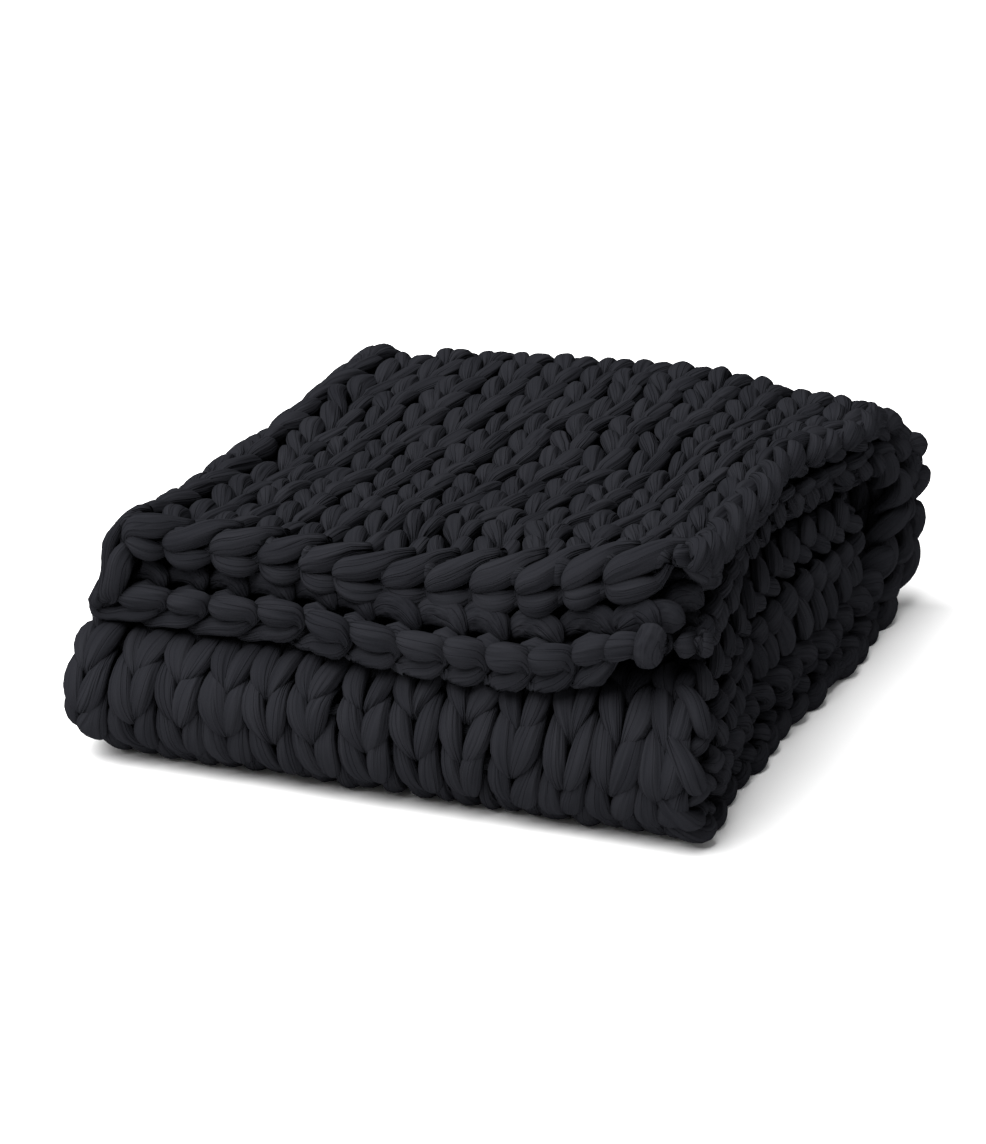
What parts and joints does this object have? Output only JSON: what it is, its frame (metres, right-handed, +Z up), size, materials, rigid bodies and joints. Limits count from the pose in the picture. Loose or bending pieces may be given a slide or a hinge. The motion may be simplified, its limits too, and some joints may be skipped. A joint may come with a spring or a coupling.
{
  "type": "folded weighted blanket",
  "caption": "Chunky hand-knit weighted blanket in charcoal tube yarn, doubled along its length and folded in three like a letter, lying flat with its free edges at the front.",
  "frame": {"origin": "middle of the folded stack's outline, on the surface it lies on", "axes": "+Z up, -Y towards the free edges and the front fold, +Y towards the rear fold, +X towards the selvedges, -X towards the half fold"},
  "size_m": [0.5899, 0.681, 0.2654],
  "materials": {
    "knit": "matte charcoal jersey tube yarn, hand-knit in large stitches, faint sheen along the folds of the yarn"
  },
  "bodies": {
    "root": {"blanket": "knit"}
  },
  "joints": []
}
